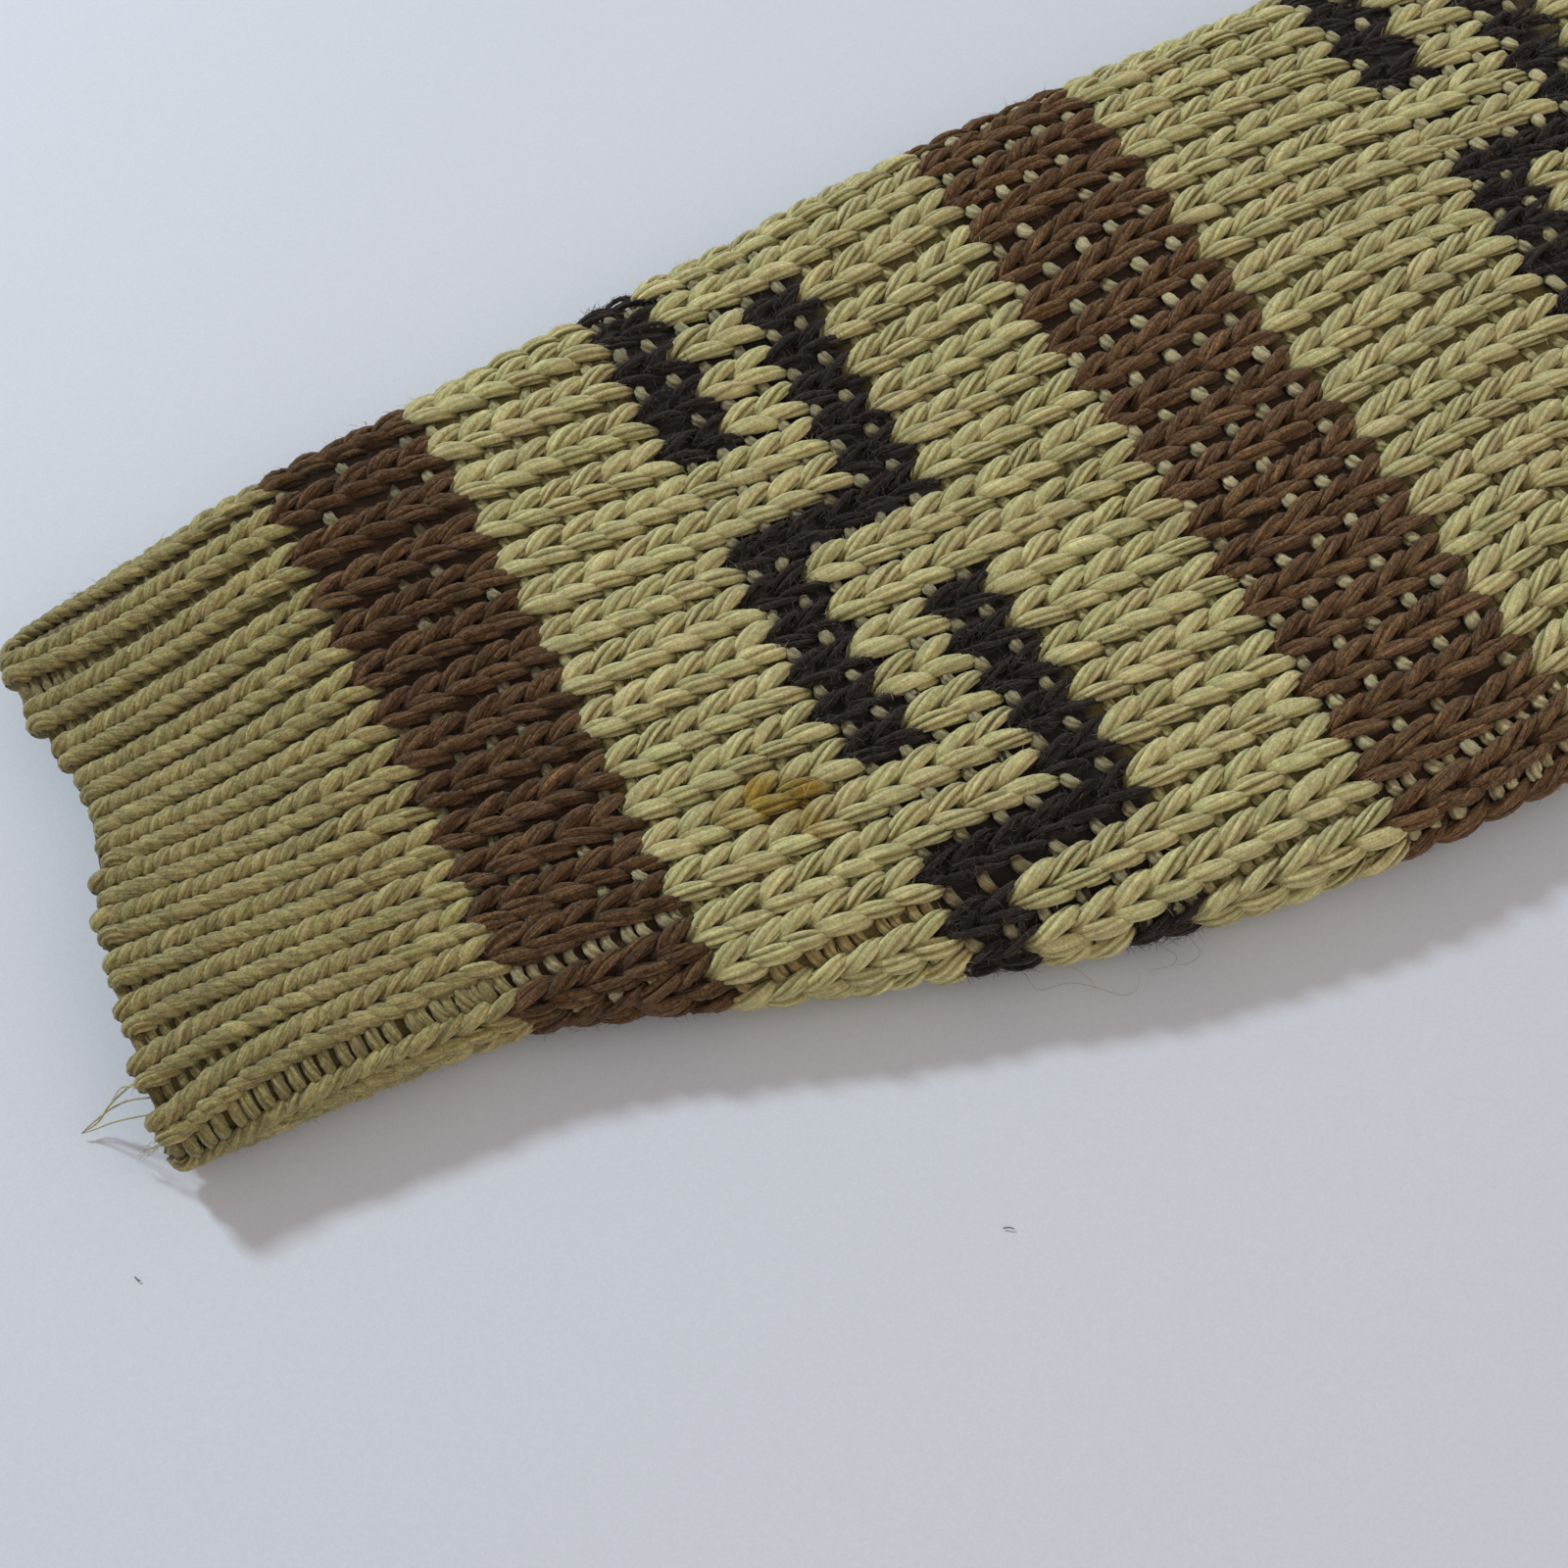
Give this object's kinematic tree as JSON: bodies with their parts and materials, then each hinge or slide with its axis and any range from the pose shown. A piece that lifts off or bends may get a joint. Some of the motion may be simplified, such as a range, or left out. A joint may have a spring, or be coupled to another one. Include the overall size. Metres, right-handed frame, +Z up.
{
  "type": "knitted jumper sleeve",
  "caption": "Tapered hand-knitted sleeve tube lying flat, ribbed throughout, with a tight cuff, dark bands and a stepped two-colour motif; open at both ends.",
  "frame": {"origin": "middle of the flat underside of the sleeve as it lies on a table", "axes": "+X runs up the sleeve from the cuff to the upper edge, +Z up out of the table, +Y towards the straighter fold"},
  "size_m": [0.422, 0.1784, 0.017],
  "materials": {
    "ecru_yarn": "soft woollen yarn, three-ply, matt, undyed cream",
    "cuff_yarn": "same yarn, worn and slightly greyed, tight rib",
    "brown_yarn": "dark brown fuzzy woollen yarn, matt",
    "black_yarn": "thin black fuzzy woollen yarn, matt",
    "seam_yarn": "same cream yarn, sewn seam"
  },
  "bodies": {
    "root": {"cast_on_edge": "cuff_yarn", "cuff_rib": "cuff_yarn", "cuff_transition": "cuff_yarn", "brown_band_lower": "brown_yarn", "ecru_band_lower": "ecru_yarn", "motif_ground_lower": "ecru_yarn", "ecru_band_middle": "ecru_yarn", "brown_band_middle": "brown_yarn", "ecru_band_upper": "ecru_yarn", "motif_ground_upper": "ecru_yarn", "ecru_band_top": "ecru_yarn", "brown_band_top": "brown_yarn", "ecru_rib_top": "ecru_yarn", "bind_off_edge": "ecru_yarn", "black_figure_lower_1": "black_yarn", "black_figure_lower_2": "black_yarn", "black_figure_lower_3": "black_yarn", "black_figure_lower_4": "black_yarn", "black_figure_lower_5": "black_yarn", "black_figure_upper_1": "black_yarn", "black_figure_upper_2": "black_yarn", "black_figure_upper_3": "black_yarn", "black_figure_upper_4": "black_yarn", "black_figure_upper_5": "black_yarn", "underarm_seam": "seam_yarn"}
  },
  "joints": []
}
